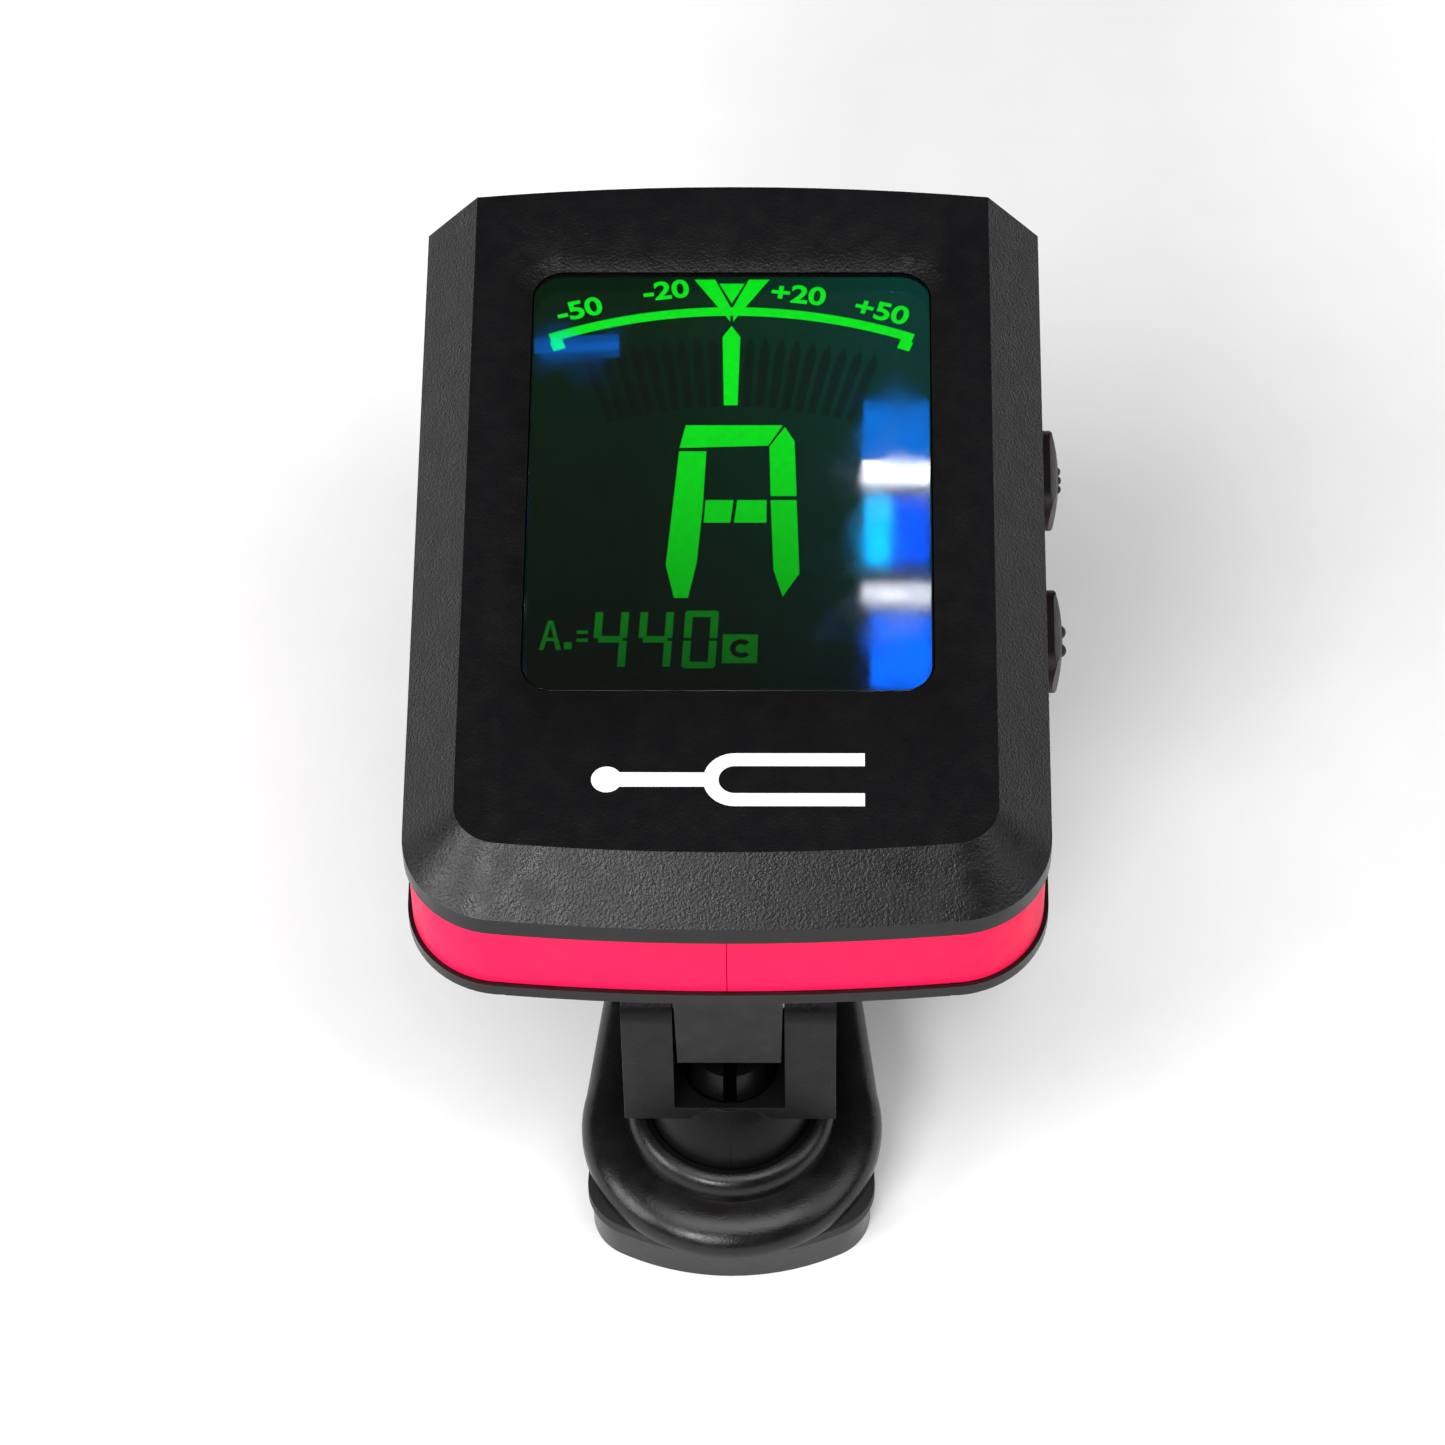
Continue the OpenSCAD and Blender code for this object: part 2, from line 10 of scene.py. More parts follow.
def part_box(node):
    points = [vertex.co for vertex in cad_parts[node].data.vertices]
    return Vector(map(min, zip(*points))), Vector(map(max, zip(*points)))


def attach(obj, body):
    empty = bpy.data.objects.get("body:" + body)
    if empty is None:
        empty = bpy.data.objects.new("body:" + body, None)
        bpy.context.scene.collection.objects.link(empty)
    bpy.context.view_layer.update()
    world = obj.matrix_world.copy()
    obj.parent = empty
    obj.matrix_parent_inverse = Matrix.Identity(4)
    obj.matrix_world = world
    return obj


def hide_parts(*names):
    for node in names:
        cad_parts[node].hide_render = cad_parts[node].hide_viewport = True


MM = 0.001
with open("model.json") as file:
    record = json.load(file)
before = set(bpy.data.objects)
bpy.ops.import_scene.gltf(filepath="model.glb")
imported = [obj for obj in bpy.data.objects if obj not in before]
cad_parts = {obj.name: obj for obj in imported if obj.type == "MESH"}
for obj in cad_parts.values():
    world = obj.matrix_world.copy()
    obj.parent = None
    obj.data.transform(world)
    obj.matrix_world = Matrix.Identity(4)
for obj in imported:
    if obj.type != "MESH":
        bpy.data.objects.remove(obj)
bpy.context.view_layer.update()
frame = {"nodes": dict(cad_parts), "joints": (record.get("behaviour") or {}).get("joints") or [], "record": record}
BODY_OF = {node: body for body, nodes in frame["record"]["behaviour"]["bodies"].items()
           for node in nodes}
SLOT_OF = {part["node"]: part["material_slot"] for part in frame["record"]["subparts"]}


# ---------------------------------------------------------------- materials

class Nodes:
    """A short way to build one material's node tree."""

    def __init__(self, name):
        self.material = bpy.data.materials.new(name)
        self.material.use_nodes = True
        self.tree = self.material.node_tree
        self.shader = self.tree.nodes["Principled BSDF"]
        self.place = self.tree.nodes.new("ShaderNodeTexCoord").outputs["Object"]

    def link(self, source, target):
        self.tree.links.new(source, target)

    def noise(self, size, detail=3.0, rough=0.5):
        """Noise whose blobs are about size metres across."""
        node = self.tree.nodes.new("ShaderNodeTexNoise")
        node.inputs["Scale"].default_value = 1.0 / size
        node.inputs["Detail"].default_value = detail
        node.inputs["Roughness"].default_value = rough
        self.link(self.place, node.inputs["Vector"])
        return node.outputs["Fac"]

    def spread(self, value, low, high, start=0.3, stop=0.7):
        node = self.tree.nodes.new("ShaderNodeMapRange")
        node.inputs["From Min"].default_value = start
        node.inputs["From Max"].default_value = stop
        node.inputs["To Min"].default_value = low
        node.inputs["To Max"].default_value = high
        self.link(value, node.inputs["Value"])
        return node.outputs["Result"]

    def blend(self, value, first, second):
        node = self.tree.nodes.new("ShaderNodeMix")
        node.data_type = "RGBA"
        node.inputs["A"].default_value = (*first, 1.0)
        node.inputs["B"].default_value = (*second, 1.0)
        self.link(value, node.inputs["Factor"])
        return node.outputs["Result"]

    def bump(self, layers):
        """Stacks bump layers of (height, depth in metres)."""
        normal = None
        for height, depth in layers:
            node = self.tree.nodes.new("ShaderNodeBump")
            node.inputs["Strength"].default_value = 1.0
            node.inputs["Distance"].default_value = depth
            self.link(height, node.inputs["Height"])
            if normal:
                self.link(normal, node.inputs["Normal"])
            normal = node.outputs["Normal"]
        self.link(normal, self.shader.inputs["Normal"])


def moulded(name, colour, rough, grain=0.22 * MM, depth=0.02 * MM, gloss=0.4, scuff=1.25):
    """Moulded plastic: spark-eroded grain, slow sink marks, uneven shine, paler rubbed patches."""
    n = Nodes(name)
    patches = n.noise(6 * MM, 4.0)
    grains = n.noise(grain, 2.0, 0.6)
    paler = tuple(min(1.0, c * scuff + 0.001) for c in colour)
    n.link(n.blend(n.spread(patches, 0.0, 1.0, 0.35, 0.75), colour, paler),
           n.shader.inputs["Base Color"])
    n.link(n.spread(n.noise(1.6 * MM, 5.0), rough - 0.06, rough + 0.08),
           n.shader.inputs["Roughness"])
    n.shader.inputs["Specular IOR Level"].default_value = gloss
    n.bump([(n.noise(9 * MM, 1.0), 0.006 * MM), (grains, depth)])
    return n.material


def metal(name, colour, rough, brush=0.15 * MM):
    """Plated metal with fine drawing marks and dulled patches."""
    n = Nodes(name)
    n.shader.inputs["Metallic"].default_value = 1.0
    dull = tuple(c * 0.72 for c in colour)
    n.link(n.blend(n.spread(n.noise(2.5 * MM, 5.0), 0.0, 1.0), colour, dull),
           n.shader.inputs["Base Color"])
    n.link(n.spread(n.noise(0.8 * MM, 6.0), rough - 0.08, rough + 0.12),
           n.shader.inputs["Roughness"])
    n.bump([(n.noise(brush, 2.0), 0.004 * MM)])
    return n.material


def clear(name, colour, rough, clean=1.0):
    """Clear moulded plastic with faint handling marks."""
    n = Nodes(name)
    n.shader.inputs["Base Color"].default_value = (*colour, 1.0)
    n.shader.inputs["Transmission Weight"].default_value = clean
    n.shader.inputs["IOR"].default_value = 1.46
    n.link(n.spread(n.noise(3 * MM, 6.0), rough, rough + 0.05), n.shader.inputs["Roughness"])
    n.bump([(n.noise(14 * MM, 1.0), 0.004 * MM)])
    return n.material


def glowing(name, colour, near, far, low_y, high_y, right_colour=None, left_share=1.0):
    """Backlit display: dim towards the jaws' side, bright towards the far end."""
    n = Nodes(name)
    split = n.tree.nodes.new("ShaderNodeSeparateXYZ")
    n.link(n.place, split.inputs["Vector"])
    ramp = n.spread(split.outputs["Y"], near, far, low_y, high_y)
    grain = n.spread(n.noise(0.35 * MM, 2.0), 0.86, 1.0)
    across = n.spread(split.outputs["X"], 0.0, 1.0, -6 * MM, 11 * MM)
    for value in (grain, n.spread(across, left_share, 1.0, 0.0, 1.0)):
        product = n.tree.nodes.new("ShaderNodeMath")
        product.operation = "MULTIPLY"
        n.link(ramp, product.inputs[0])
        n.link(value, product.inputs[1])
        ramp = product.outputs["Value"]
    n.shader.inputs["Base Color"].default_value = (0.0004, 0.0015, 0.0008, 1.0)
    n.shader.inputs["Specular IOR Level"].default_value = 0.0
    n.link(n.spread(n.noise(0.8 * MM, 3.0), 0.5, 0.7), n.shader.inputs["Roughness"])
    n.link(n.blend(across, colour, right_colour or colour), n.shader.inputs["Emission Color"])
    n.link(ramp, n.shader.inputs["Emission Strength"])
    n.bump([(n.noise(0.5 * MM, 2.0), 0.002 * MM)])
    return n.material


CASE_BLACK = (0.0026, 0.0021, 0.002)
CLIP_BLACK = (0.0032, 0.0029, 0.0028)
MATERIALS = {
    "case_plastic": moulded("case_plastic", CASE_BLACK, 0.35, 0.2 * MM, 0.045 * MM, 0.42),
    "clip_plastic": moulded("clip_plastic", CLIP_BLACK, 0.25, 0.14 * MM, 0.016 * MM, 0.38),
    "fork_plastic": moulded("fork_plastic", CLIP_BLACK, 0.32, 0.2 * MM, 0.02 * MM, 0.14),
    "button_plastic": moulded("button_plastic", CLIP_BLACK, 0.5, 0.2 * MM, 0.02 * MM, 0.4),
    "band_plastic": moulded("band_plastic", (0.96, 0.006, 0.075), 0.45, 0.3 * MM, 0.008 * MM,
                            0.08, 1.04),
    "lens": clear("lens", (0.93, 0.97, 0.96), 0.0),
    "white_plastic": moulded("white_plastic", (0.74, 0.74, 0.71), 0.4, 0.3 * MM, 0.01 * MM),
    "light_guide": moulded("light_guide", (0.7, 0.88, 0.72), 0.2, 0.4 * MM, 0.01 * MM),
    "led": moulded("led", (0.85, 0.78, 0.32), 0.25, 0.2 * MM, 0.01 * MM),
    "board": moulded("board", (0.008, 0.1, 0.035), 0.3, 0.5 * MM, 0.012 * MM),
    "chip": moulded("chip", (0.012, 0.012, 0.013), 0.5, 0.12 * MM, 0.01 * MM),
    "switch_body": moulded("switch_body", (0.28, 0.28, 0.29), 0.4, 0.2 * MM, 0.01 * MM),
    "pad_rubber": moulded("pad_rubber", (0.012, 0.012, 0.0125), 0.62, 0.3 * MM, 0.03 * MM, 0.3),
    "washer_plastic": moulded("washer_plastic", (0.66, 0.63, 0.54), 0.4, 0.25 * MM, 0.01 * MM),
    "wire": moulded("wire", (0.5, 0.03, 0.02), 0.3, 0.2 * MM, 0.008 * MM),
    "steel": metal("steel", (0.62, 0.62, 0.64), 0.28),
    "cell_steel": metal("cell_steel", (0.7, 0.7, 0.71), 0.22),
    "contact": metal("contact", (0.78, 0.6, 0.28), 0.26),
    "brass": metal("brass", (0.8, 0.58, 0.24), 0.3),
}
LCD_LOW, LCD_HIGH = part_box("lcd_panel")
MATERIALS["lcd"] = glowing("lcd", (0.0, 0.42, 0.08), 0.006, 0.11, LCD_LOW.y, LCD_HIGH.y,
                           (0.0, 0.4, 0.3), 0.3)
CASE_RIM = moulded("case_rim", CASE_BLACK, 0.3, 0.2 * MM, 0.004 * MM, 0.2)
LENS_EDGE = moulded("lens_edge", (0.002, 0.002, 0.002), 0.7, 0.2 * MM, 0.004 * MM, 0.0)
GLOW = glowing("display_ink", (0.0, 1.0, 0.012), 0.15, 0.92, LCD_LOW.y, LCD_LOW.y + 26 * MM)
GLOW_LOW = glowing("display_ink_low", (0.0, 1.0, 0.03), 0.055, 0.17, LCD_LOW.y, LCD_LOW.y + 9 * MM)
GHOST = glowing("display_ghost", (0.0, 0.42, 0.08), 0.003, 0.055, LCD_LOW.y, LCD_HIGH.y,
                (0.0, 0.4, 0.3), 0.3)
PRINT = moulded("white_print", (0.86, 0.86, 0.86), 0.5, 0.2 * MM, 0.006 * MM)


# ---------------------------------------------------------------- mesh helpers

def add_object(name, mesh, body, slot, material=None):
    """Puts a mesh in the scene on a body, in a slot's finish."""
    piece = bpy.data.objects.new(name, mesh)
    bpy.context.scene.collection.objects.link(piece)
    mesh.materials.clear()
    mesh.materials.append(material or MATERIALS[slot])
    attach(piece, body)
    return piece


def softened(node, width, segments=3, name=None):
    """A copy of a CAD node whose edges carry the small radii of a real moulding."""
    source = frame["nodes"][node]
    mesh = source.data.copy()
    bm = bmesh.new()
    bm.from_mesh(mesh)
    bmesh.ops.remove_doubles(bm, verts=bm.verts, dist=0.002 * MM)
    bmesh.ops.dissolve_limit(bm, angle_limit=math.radians(0.4), verts=bm.verts, edges=bm.edges)
    for face in bm.faces:
        face.smooth = True
    bm.to_mesh(mesh)
    bm.free()
    for layer in [a.name for a in mesh.attributes if a.name in ("custom_normal", "sharp_face")]:
        mesh.attributes.remove(mesh.attributes[layer])
    piece = add_object(name or node + "_moulding", mesh, BODY_OF[node], SLOT_OF[node])
    bevel = piece.modifiers.new("edges", "BEVEL")
    bevel.width = width
    bevel.segments = segments
    bevel.limit_method = "ANGLE"
    bevel.angle_limit = math.radians(24)
    bevel.use_clamp_overlap = True
    bevel.harden_normals = True
    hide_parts(node)
    return piece


def flat_mesh(name, outlines, z, thickness):
    """One mesh of thin flat shapes, each outline a list of (x, y) in millimetres."""
    bm = bmesh.new()
    for outline in outlines:
        verts = [bm.verts.new((x * MM, y * MM, z)) for x, y in outline]
        face = bm.faces.new(verts)
        if face.normal.z > 0 or face.calc_area() and _turns_left(outline):
            face.normal_flip()
        made = bmesh.ops.extrude_face_region(bm, geom=[face])
        for item in made["geom"]:
            if isinstance(item, bmesh.types.BMVert):
                item.co.z += thickness
    bmesh.ops.recalc_face_normals(bm, faces=bm.faces)
    mesh = bpy.data.meshes.new(name)
    bm.to_mesh(mesh)
    bm.free()
    return mesh


def _turns_left(outline):
    """True if the outline runs anticlockwise."""
    area = 0.0
    for (x0, y0), (x1, y1) in zip(outline, outline[1:] + outline[:1]):
        area += x0 * y1 - x1 * y0
    return area > 0


def curve_mesh(name, curve):
    """The mesh that a curve or a text makes."""
    holder = bpy.data.objects.new(name + "_holder", curve)
    bpy.context.scene.collection.objects.link(holder)
    bpy.context.view_layer.update()
    drawn = holder.evaluated_get(bpy.context.evaluated_depsgraph_get())
    mesh = bpy.data.meshes.new_from_object(drawn)
    bpy.data.objects.remove(holder)
    return mesh


def arc_points(cx, cy, radius, start, stop, steps):
    """Points along an arc; angles in degrees, anticlockwise from +X."""
    points = []
    for i in range(steps + 1):
        a = math.radians(start + (stop - start) * i / steps)
        points.append((cx + radius * math.cos(a), cy + radius * math.sin(a)))
    return points


def ring_slice(cx, cy, r0, r1, start, stop, steps=24):
    return arc_points(cx, cy, r1, start, stop, steps) + arc_points(cx, cy, r0, stop, start, steps)


# ---------------------------------------------------------------- CAD nodes kept as they are

for node, item in frame["nodes"].items():
    item.data.materials.clear()
    item.data.materials.append(MATERIALS[SLOT_OF[node]])

# ---------------------------------------------------------------- mouldings with softened edges

SOFT_EDGES = {
    "front_cover": 0.32, "rear_cover": 0.28, "band_left": 0.12, "band_right": 0.12,
    "power_button": 0.35, "mode_button": 0.35, "swivel_fork": 0.3, "upper_arm": 0.3,
    "lower_arm": 0.3, "lower_jaw_pad": 0.16, "upper_jaw_pad": 0.16, "battery_door": 0.15,
    "swivel_rivet": 0.18, "display_window": 0.12, "tilt_pin": 0.15, "clip_hinge_pin": 0.15,
}
mouldings = {node: softened(node, width * MM) for node, width in SOFT_EDGES.items()}


def finish_walls(node, material, steepest):
    """Gives a moulding's upright walls a finish of their own."""
    mesh = mouldings[node].data
    mesh.materials.append(material)
    for face in mesh.polygons:
        face.material_index = 0 if abs(face.normal.z) > steepest else 1


# The lens is blackened round its edge, so nothing mirrors inside it; the covers' rims are smooth
finish_walls("display_window", LENS_EDGE, 0.9)
finish_walls("front_cover", CASE_RIM, 0.3)
finish_walls("rear_cover", CASE_RIM, 0.3)

# ---------------------------------------------------------------- display contents

INK_Z = LCD_HIGH.z + 0.01 * MM
INK_T = 0.02 * MM
ARC_R = 34.0
ARC_Y = 43.35 - ARC_R
ARC_HALF = 21.2


def show(name, outlines, material, lift=0.0):
    mesh = flat_mesh(name, outlines, INK_Z + lift, INK_T)
    return add_object(name, mesh, "head", "lcd", material)


def scale_outlines():
    """The scale's arc with a short tick at each end."""
    half = 0.36
    shapes = [ring_slice(0, ARC_Y, ARC_R - half, ARC_R + half, 90 - ARC_HALF, 90 + ARC_HALF, 40)]
    for side in (-1, 1):
        a = 90 + side * (ARC_HALF - 0.5)
        shapes.append(ring_slice(0, ARC_Y, ARC_R - 1.15, ARC_R - half, a - 0.75, a + 0.75, 2))
    return shapes


def marker_outlines():
    """The centre marker: a broad pointer made of two wings round a small inner pointer."""
    top, tip, half = 46.1, 42.5, 2.55
    shapes = []
    for s in (-1, 1):
        shapes.append([(s * half, top), (s * 1.15, top), (s * 0.1, 43.75), (s * 0.1, tip)])
    shapes.append([(-0.85, 45.75), (0.85, 45.75), (0.0, 44.05)])
    return shapes


def needle_outline(angle, outer, inner, half_out, half_in):
    """A pointed needle lying along a radius of the scale."""
    a = math.radians(angle)
    along = Vector((math.sin(a), math.cos(a)))
    across = Vector((along.y, -along.x))
    base = Vector((0, ARC_Y))
    tip = base + along * outer
    neck = base + along * (outer - 0.95)
    foot = base + along * inner
    points = [tip, neck + across * half_out, foot + across * half_in,
              foot - across * half_in, neck - across * half_out]
    return [(p.x, p.y) for p in points]


show("scale_arc", scale_outlines(), GLOW)
show("scale_marker", marker_outlines(), GLOW)
show("needle_lit", [needle_outline(0, 32.75, 26.0, 0.6, 0.46)], GLOW)
show("needles_unlit", [needle_outline(s * (2.3 + 1.95 * i), 31.9, 25.9, 0.34, 0.28)
                       for s in (-1, 1) for i in range(9)], GHOST)

# The note, in six slanted segments
NOTE_SEGMENTS = [
    [(-3.0, 33.65), (3.5, 33.65), (2.55, 31.95), (-3.4, 31.75)],
    [(-3.42, 31.45), (-1.6, 31.45), (-1.78, 27.0), (-2.14, 22.25), (-2.68, 19.4), (-3.6, 19.4),
     (-4.18, 22.05)],
    [(3.65, 33.5), (4.3, 32.3), (4.45, 27.75), (2.72, 27.75), (2.62, 31.85)],
    [(2.72, 27.4), (4.45, 27.4), (4.65, 21.4), (3.55, 19.5), (2.94, 21.7)],
    [(-1.6, 27.4), (0.25, 27.4), (0.05, 25.55), (-1.72, 25.55)],
    [(0.5, 27.4), (2.45, 27.4), (2.45, 25.55), (0.3, 25.55)],
]
show("note_segments", NOTE_SEGMENTS, GLOW)

SEGMENTS = {"4": "fgbc", "0": "abcdef"}


def digit_outlines(text, x, y, w, h, t, lean):
    """Seven-segment digits from the left foot (x, y), each w by h with strokes t thick."""
    shapes = []
    mid = h / 2
    g = 0.12
    for i, char in enumerate(text):
        left = i * (w + 0.75)
        bars = {
            "a": (g, h - t, w - g, h), "d": (g, 0, w - g, t),
            "g": (t * 0.6, mid - t / 2, w - t * 0.6, mid + t / 2),
            "f": (0, mid + g, t, h - g), "b": (w - t, mid + g, w, h - g),
            "e": (0, g, t, mid - g), "c": (w - t, g, w, mid - g),
        }
        for key in SEGMENTS[char]:
            x0, y0, x1, y1 = bars[key]
            corners = rectangle(x0, y0, x1, y1)
            shapes.append([(x + left + px + lean * py, y + py) for px, py in corners])
    return shapes


def letter_a(x, y, w, h, t):
    """A plain capital A from its left foot."""
    half = w / 2
    top = y + h
    bar, bar_top = y + 0.3 * h, y + 0.3 * h + t * 0.8
    return [[(x, y), (x + t, y), (x + half, top - t), (x + half, top), (x + half - t / 2, top)],
            [(x + w, y), (x + w - t, y), (x + half, top - t), (x + half, top),
             (x + half + t / 2, top)],
            [(x + 0.3 * half, bar), (x + w - 0.3 * half, bar),
             (x + w - 0.36 * half, bar_top), (x + 0.36 * half, bar_top)]]


def rectangle(x0, y0, x1, y1):
    return [(x0, y0), (x1, y0), (x1, y1), (x0, y1)]


PITCH_Y = 13.75
EQUALS = [rectangle(-9.95, PITCH_Y + 2.1, -9.2, PITCH_Y + 2.35),
          rectangle(-9.95, PITCH_Y + 2.75, -9.2, PITCH_Y + 3.0)]
FULL_STOP = rectangle(-10.75, PITCH_Y + 1.5, -10.25, PITCH_Y + 2.05)
show("pitch_label", letter_a(-12.4, PITCH_Y + 1.45, 1.45, 2.35, 0.32) + EQUALS + [FULL_STOP],
     GLOW_LOW)
show("pitch_digits", digit_outlines("440", -8.95, PITCH_Y, 2.2, 4.6, 0.5, 0.05), GLOW_LOW)
show("mode_box", [[(-0.4, 14.15), (1.9, 14.15), (1.95, 16.45), (-0.35, 16.45)]], GLOW_LOW)
show("mode_mark", [ring_slice(0.85, 15.3, 0.36, 0.74, 42, 318, 20)], GHOST, 1.5 * INK_T)


def number_piece(name, text, x, y, turn, size):
    """A small scale number, turned about its centre."""
    curve = bpy.data.curves.new(name + "_curve", "FONT")
    curve.body = text
    curve.size = size * MM
    curve.extrude = INK_T / 2
    curve.align_x = "CENTER"
    curve.align_y = "CENTER"
    curve.offset = 0.055 * MM
    mesh = curve_mesh(name, curve)
    mesh.transform(Matrix.Translation((x * MM, y * MM, INK_Z + INK_T))
                   @ Matrix.Rotation(math.radians(turn), 4, "Z") @ Matrix.Diagonal((1.14, 1, 1, 1)))
    return add_object(name, mesh, "head", "lcd", GLOW)


NUMBER_SIZE = 2.1
NUMBERS = (("minus_fifty", "-50", -10.35, 43.45, 15), ("minus_twenty", "-20", -4.5, 45.1, 7),
           ("plus_twenty", "+20", 4.5, 44.75, -7), ("plus_fifty", "+50", 10.15, 43.3, -15))
for label, text, x, y, turn in NUMBERS:
    number_piece("scale_" + label, text, x, y, turn, NUMBER_SIZE)

# ---------------------------------------------------------------- white print: a tuning fork

FACE_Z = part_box("front_cover")[1].z


def tuning_fork_outline(x0, x1, y, gap, t):
    """A tuning fork lying along X, its stem at x0 and its tines ending at x1."""
    outer = gap / 2 + t
    bend = x0 + 7.2
    arc = arc_points(bend + outer, y, outer, 90, 270, 20)
    inner = arc_points(bend + outer, y, gap / 2, 270, 90, 20)
    half = t * 0.55
    upper = [p for p in arc if p[1] > y + half]
    lower = [p for p in arc if p[1] < y - half]
    ball = arc_points(x0 + 1.0, y, 1.0, 34, 326, 24)
    stem = [(bend + 0.1, y + half)] + ball + [(bend + 0.1, y - half)]
    return ([(x1, y + outer)] + upper + stem + lower + [(x1, y - outer), (x1, y - gap / 2)] + inner
            + [(x1, y + gap / 2)])


fork_mark = flat_mesh("tuning_fork_print", [tuning_fork_outline(-8.7, 8.9, 3.9, 2.1, 1.0)],
                      FACE_Z, 0.012 * MM)
add_object("tuning_fork_print", fork_mark, "head", "white_plastic", PRINT)

# ---------------------------------------------------------------- raised marks on the buttons


def raised_marks(name, node, radius, count, spread):
    """Small raised pips in a row on a button's crown."""
    low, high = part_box(node)
    centre = (low + high) / 2
    bm = bmesh.new()
    for i in range(count):
        offset = (i - (count - 1) / 2) * spread
        drop = offset * offset / (2 * 10 * MM)
        at = Vector((high.x - drop - radius * 0.45, centre.y + offset, centre.z))
        bmesh.ops.create_uvsphere(bm, u_segments=16, v_segments=10, radius=radius,
                                  matrix=Matrix.Translation(at))
    for face in bm.faces:
        face.smooth = True
    mesh = bpy.data.meshes.new(name)
    bm.to_mesh(mesh)
    bm.free()
    return add_object(name, mesh, node, "button_plastic")


raised_marks("power_button_pips", "power_button", 0.34 * MM, 3, 0.75 * MM)
raised_marks("mode_button_pips", "mode_button", 0.5 * MM, 2, 1.5 * MM)

# ---------------------------------------------------------------- torsion spring

JOINT = {joint["name"]: joint for joint in frame["joints"]}
PIVOT = Vector(JOINT["clip_open"]["pos_m"])


def wire_piece(name, points, body, radius, slot="steel"):
    """Round wire through points, as a mesh tube."""
    curve = bpy.data.curves.new(name, "CURVE")
    curve.dimensions = "3D"
    curve.bevel_depth = radius
    curve.bevel_resolution = 5
    curve.use_fill_caps = True
    spline = curve.splines.new("POLY")
    spline.points.add(len(points) - 1)
    for target, point in zip(spline.points, points):
        target.co = (*point, 1.0)
    mesh = curve_mesh(name, curve)
    for face in mesh.polygons:
        face.use_smooth = True
    return add_object(name, mesh, body, slot)


COIL_START = -100
COIL_TURN = 1949
COIL_R = 2.3 * MM
COIL_HALF = 3.3 * MM


def coil(t):
    angle = math.radians(COIL_START - t * COIL_TURN)
    return PIVOT + Vector(((2 * t - 1) * COIL_HALF, COIL_R * math.cos(angle),
                           COIL_R * math.sin(angle)))


COIL_STEPS = 200
low_leg = [Vector((-3.3, 41, 2.6)) * MM, Vector((-3.3, 33, 3.2)) * MM]
high_leg = [Vector((3.3, 32, 13.4)) * MM, Vector((3.3, 40, 15)) * MM]
coil_points = [coil(i / COIL_STEPS) for i in range(COIL_STEPS + 1)]
spring = wire_piece("torsion_spring_coil", low_leg + coil_points, "lower_clip", 0.58 * MM)
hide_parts("torsion_spring")
wire_piece("torsion_spring_leg", [coil_points[-1]] + high_leg, "upper_clip", 0.58 * MM)

# ---------------------------------------------------------------- mould seam on the fork's foot

DOME_BEND = 8.15
DOME_R = 5.55
DOME_FOOT = 8.2
seam = []
for i in range(13):
    z = 8.3 + 0.38 * i
    reach = DOME_R - DOME_BEND + math.sqrt(DOME_BEND ** 2 - (z - DOME_FOOT) ** 2)
    seam.append(Vector((0.0, -reach, z)) * MM)
wire_piece("fork_mould_seam", seam, "turntable", 0.045 * MM, "fork_plastic")

# ---------------------------------------------------------------- floor, light, camera

floor_mesh = flat_mesh("floor", [[(-3000, -3000), (3000, -3000), (3000, 3000), (-3000, 3000)]],
                       -2.05 * MM, 2 * MM)
floor = bpy.data.objects.new("floor", floor_mesh)
bpy.context.scene.collection.objects.link(floor)
FLOOR_WHITE = (0.93, 0.93, 0.93)
floor_mesh.materials.append(
    moulded("floor_paper", FLOOR_WHITE, 0.7, 0.8 * MM, 0.002 * MM, 0.1, 1.02))

CAM_ELEVATION = math.radians(55.35)
CAM_YAW = math.radians(-1.50)
CAM_ROLL = math.radians(-1.18)
CAM_DISTANCE = 408.3 * MM
CAM_SLIDE = (-0.2 * MM, 7.7 * MM)
CAM_LENS = 159.45
AIM = Vector((0.0, -1.0 * MM, FACE_Z))

ahead = Vector((math.sin(CAM_YAW) * math.cos(CAM_ELEVATION),
                math.cos(CAM_YAW) * math.cos(CAM_ELEVATION), -math.sin(CAM_ELEVATION)))
level = ahead.cross(Vector((0, 0, 1))).normalized()
rise = level.cross(ahead)
right = level * math.cos(CAM_ROLL) + rise * math.sin(CAM_ROLL)
up = rise * math.cos(CAM_ROLL) - level * math.sin(CAM_ROLL)
eye = AIM - ahead * CAM_DISTANCE + right * CAM_SLIDE[0] + up * CAM_SLIDE[1]

camera_data = bpy.data.cameras.new("camera")
camera_data.lens = CAM_LENS
camera_data.sensor_width = 36.0
camera_data.clip_start = 0.01
camera = bpy.data.objects.new("camera", camera_data)
bpy.context.scene.collection.objects.link(camera)
camera.matrix_world = Matrix.Translation(eye) @ Matrix((right, up, -ahead)).transposed().to_4x4()
bpy.context.scene.camera = camera
bpy.context.scene.view_settings.view_transform = "Standard"


def softbox(name, azimuth, elevation, distance, width, height, radiance, colour=(1, 1, 1)):
    """An area lamp facing the head. Azimuth 0 is the jaws' side."""
    a, e = math.radians(azimuth), math.radians(elevation)
    centre = Vector((0, 0.02, 0.03))
    side = Vector((math.sin(a) * math.cos(e), -math.cos(a) * math.cos(e), math.sin(e)))
    place = centre + distance * side
    return lamp(name, place, centre - place, width, height, radiance, colour)


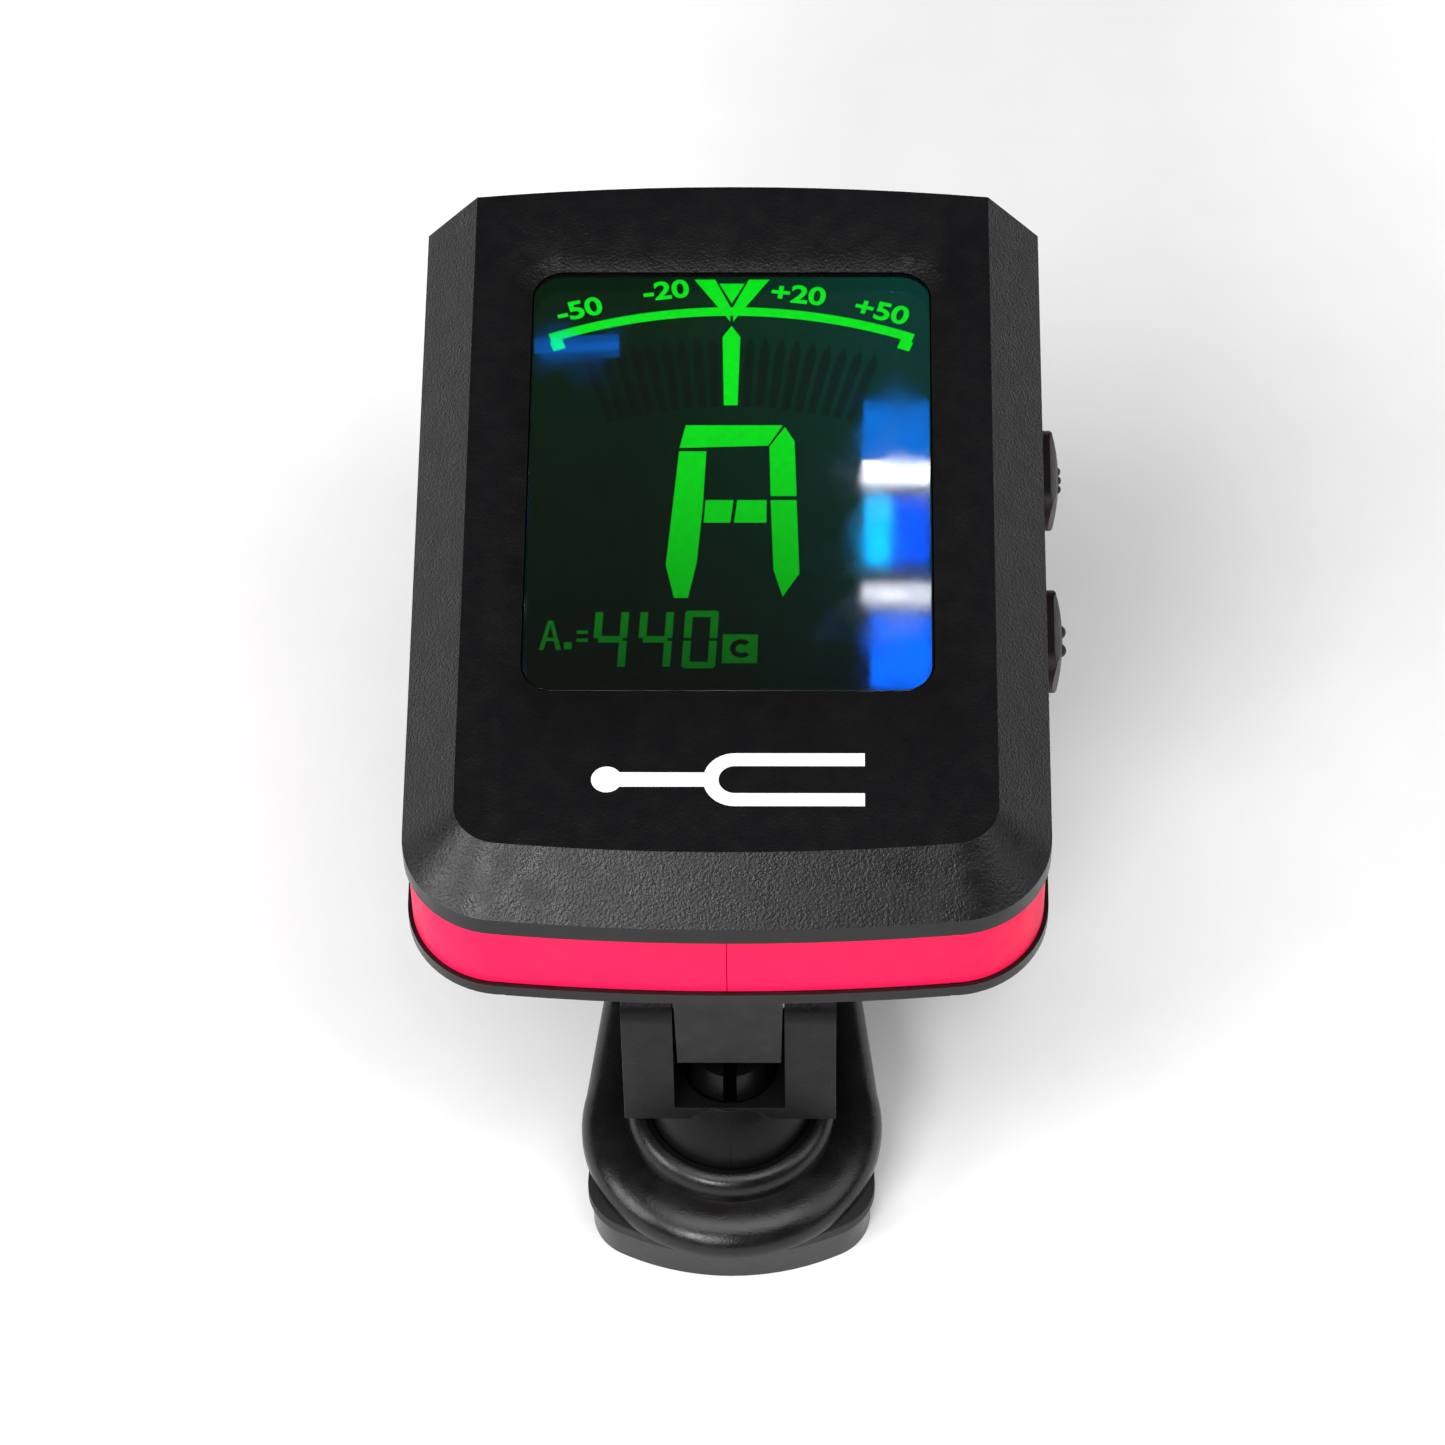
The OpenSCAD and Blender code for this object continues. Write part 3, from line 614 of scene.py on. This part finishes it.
def lamp(name, place, facing, width, height, radiance, colour):
    data = bpy.data.lights.new(name, "AREA")
    data.shape = "RECTANGLE"
    data.size = width
    data.size_y = height
    data.energy = radiance * math.pi * width * height
    data.color = colour
    item = bpy.data.objects.new(name, data)
    item.location = place
    item.rotation_mode = "QUATERNION"
    item.rotation_quaternion = facing.to_track_quat("-Z", "Y")
    bpy.context.scene.collection.objects.link(item)
    return item


softbox("front_box", -22, 31, 0.9, 0.36, 0.14, 27.0)
softbox("left_box", -68, 25, 1.0, 0.5, 0.45, 8.0)
softbox("right_box", 75, 36, 1.0, 0.6, 0.6, 2.2)
softbox("high_box", 0, 70, 1.2, 1.4, 0.6, 4.2)

LENS_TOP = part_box("display_window")[1].z
mirror_eye = Vector((eye.x, eye.y, 2 * LENS_TOP - eye.z))


def reflected_card(name, x0, x1, y0, y1, radiance, colour, reach=0.5):
    """A small lamp placed so that it is mirrored in the lens between two corners, in mm."""
    centre = Vector(((x0 + x1) / 2 * MM, (y0 + y1) / 2 * MM, LENS_TOP))
    ray = centre - mirror_eye
    grow = (ray.length + reach) / ray.length
    away = ray.normalized()
    item = lamp(name, centre + away * reach, -away, (x1 - x0) * MM * grow,
                (y1 - y0) * MM * away.z * grow, radiance, colour)
    item.visible_diffuse = False
    return item


BLUE = (0.0, 0.2, 1.0)
PALE = (0.85, 0.87, 1.0)
reflected_card("card_sky", 8.8, 13.4, 29.9, 35.0, 9.0, BLUE)
reflected_card("card_white", 8.8, 13.4, 27.9, 29.8, 34.0, PALE)
reflected_card("card_mid", 10.7, 13.3, 21.6, 27.0, 14.0, (0.0, 0.08, 1.0))
reflected_card("card_bright", 9.0, 10.7, 21.6, 27.0, 26.0, (0.0, 0.42, 1.0))
reflected_card("card_thin", 8.8, 13.4, 18.4, 19.9, 22.0, PALE)
reflected_card("card_low", 9.3, 13.4, 11.6, 17.6, 17.0, (0.0, 0.13, 1.0))
reflected_card("card_left", -13.3, -7.6, 39.1, 40.4, 6.0, (0.0, 0.2, 1.0))

world = bpy.data.worlds.new("studio")
bpy.context.scene.world = world
world.use_nodes = True
world.node_tree.nodes["Background"].inputs["Color"].default_value = (1, 1, 1, 1)
world.node_tree.nodes["Background"].inputs["Strength"].default_value = 0.08
